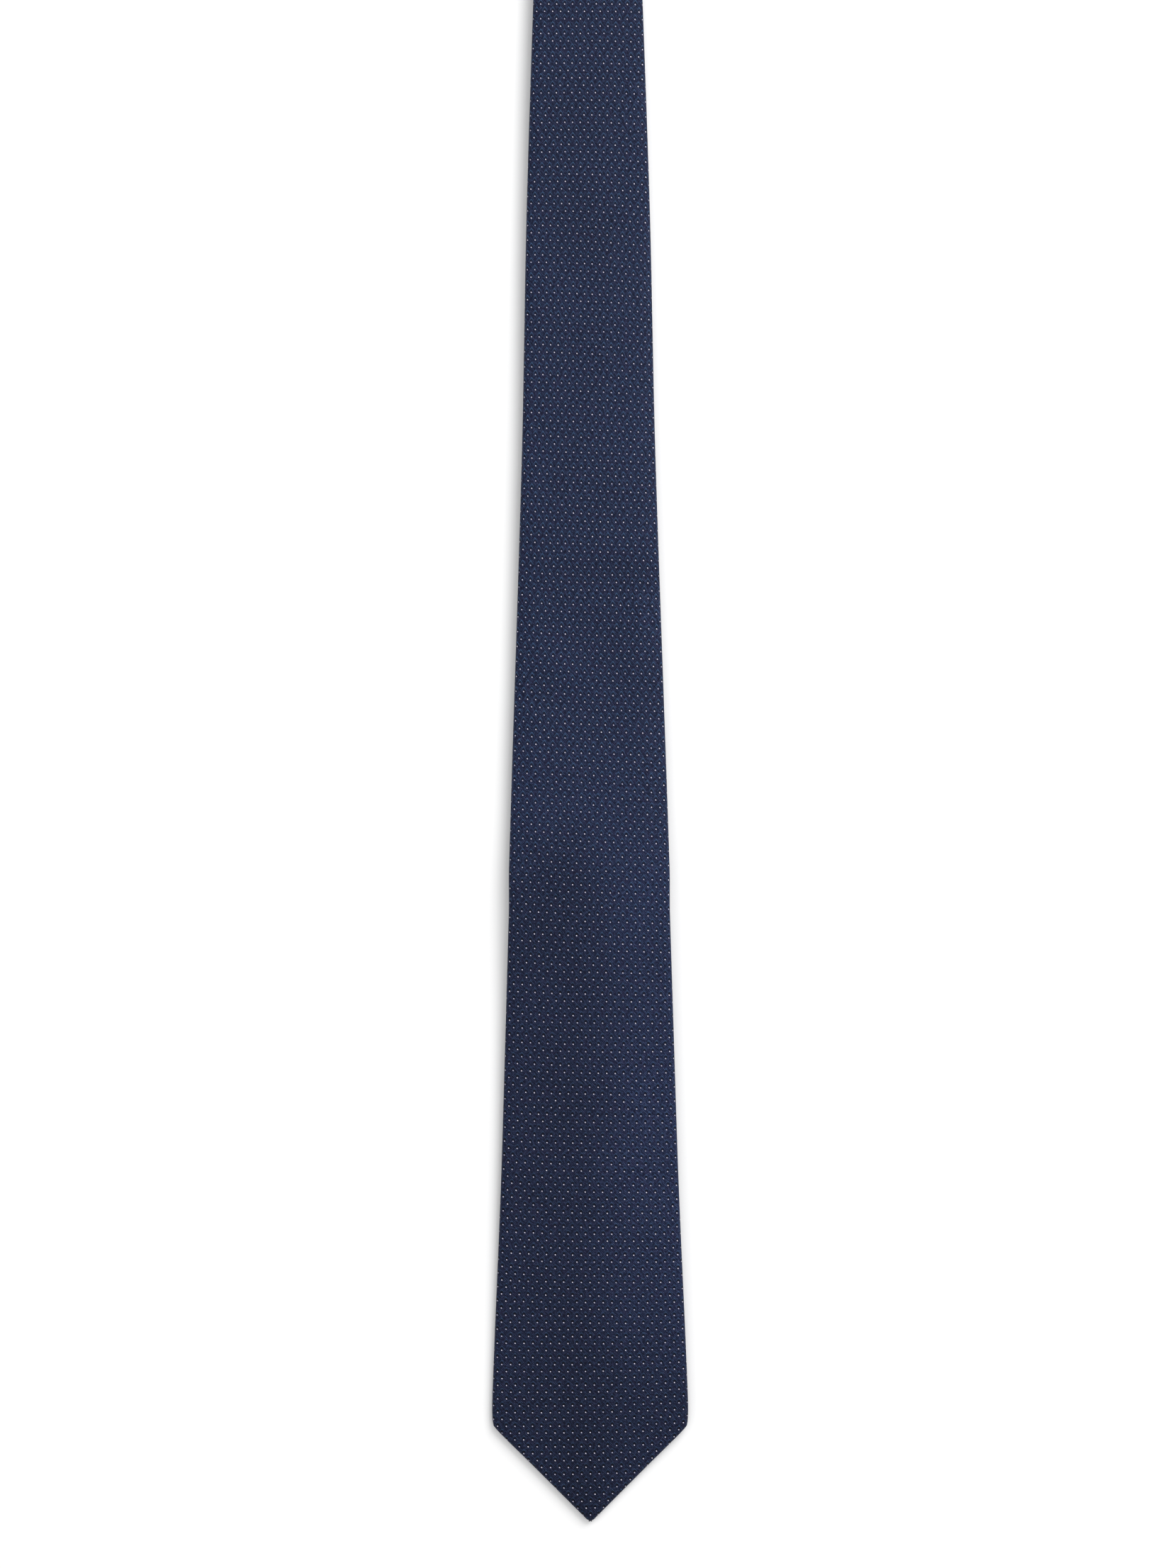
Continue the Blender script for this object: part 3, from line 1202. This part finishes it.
def follow(obj, slot, nodes, body=None, between=None, start=None, end=None):
    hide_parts(*nodes)
    if body:
        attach(obj, body)
    else:
        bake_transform(obj)


bladeBend = {"between": ("blade_end", "blade"),
             "start": (0, hingeY - bends["before"], 0), "end": (0, hingeY + bends["after"], 0)}
tailBend = {"between": ("tail_end", "tail"),
            "start": (0, tailHingeY - bends["before"], 0), "end": (0, tailHingeY + bends["after"], 0)}
foldBend = {"between": ("blade", "tail"), "start": (0, 0, bends["foldTop"]), "end": (0, 0, bends["foldFoot"])}
follow(bladeSilk, "pindot_silk", ["blade_shell_end", "blade_shell_upper"], **bladeBend)
follow(neckFront, "pindot_silk", ["neck_shell_front"], body="blade")
follow(neckFold, "pindot_silk", ["neck_shell_front", "neck_shell_back"], **foldBend)
follow(neckBack, "pindot_silk", ["neck_shell_back"], body="tail")
follow(tailSilk, "pindot_silk", ["tail_shell_upper", "tail_shell_end"], **tailBend)
follow(bladeWool, "wool_interlining", ["blade_interlining_end", "blade_interlining_upper"], **bladeBend)
follow(neckWool, "wool_interlining", ["neck_interlining_front"], body="blade")
follow(foldWool, "wool_interlining", ["neck_interlining_front", "neck_interlining_back"], **foldBend)
follow(backWool, "wool_interlining", ["neck_interlining_back"], body="tail")
follow(tailWool, "wool_interlining", ["tail_interlining_upper", "tail_interlining_end"], **tailBend)
follow(bladeLine, "tipping_silk", ["blade_tipping"], body="blade_end")
follow(tailLine, "tipping_silk", ["tail_tipping"], body="tail_end")
follow(maker, "woven_label", ["maker_label"], body="blade_end")
follow(care, "satin_label", ["care_label"], body="care_tab")
follow(loop, "pindot_silk", ["keeper_inner", "keeper_outer"], between=("blade_end", "keeper"),
       start=(0, 0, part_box("keeper_inner")[0][2] + 0.0002), end=(0, 0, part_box("keeper_outer")[1][2] - 0.0002))
follow(bladeSlip, "silk_thread", ["blade_slip_stitch_end", "blade_slip_stitch_upper"], **bladeBend)
follow(neckSlipFront, "silk_thread", ["neck_slip_stitch_front"], body="blade")
follow(neckSlipBack, "silk_thread", ["neck_slip_stitch_back"], body="tail")
follow(tailSlip, "silk_thread", ["tail_slip_stitch_upper", "tail_slip_stitch_end"], **tailBend)
follow(bladeHem, "silk_thread", ["blade_hem_stitch"], body="blade_end")
follow(tailHem, "silk_thread", ["tail_hem_stitch"], body="tail_end")
follow(bladeTack, "silk_thread", ["blade_bar_tack"], body="blade_end")
follow(tailTackPiece, "silk_thread", ["tail_bar_tack"], body="tail_end")
follow(labelStitch, "silk_thread", ["maker_label_stitch"], body="blade_end")
follow(keeperStitch, "silk_thread", ["keeper_stitch"], body="blade_end")
for node in ("blade_neck_seam", "tail_neck_seam"):    # the joining seams' own thread
    for materialSlot in frame["nodes"][node].material_slots:
        materialSlot.material = silkThread

# each cloth piece, the size it was cut to, how it is held, and its area where it isn't a rectangle
print("pieces follow their bodies")
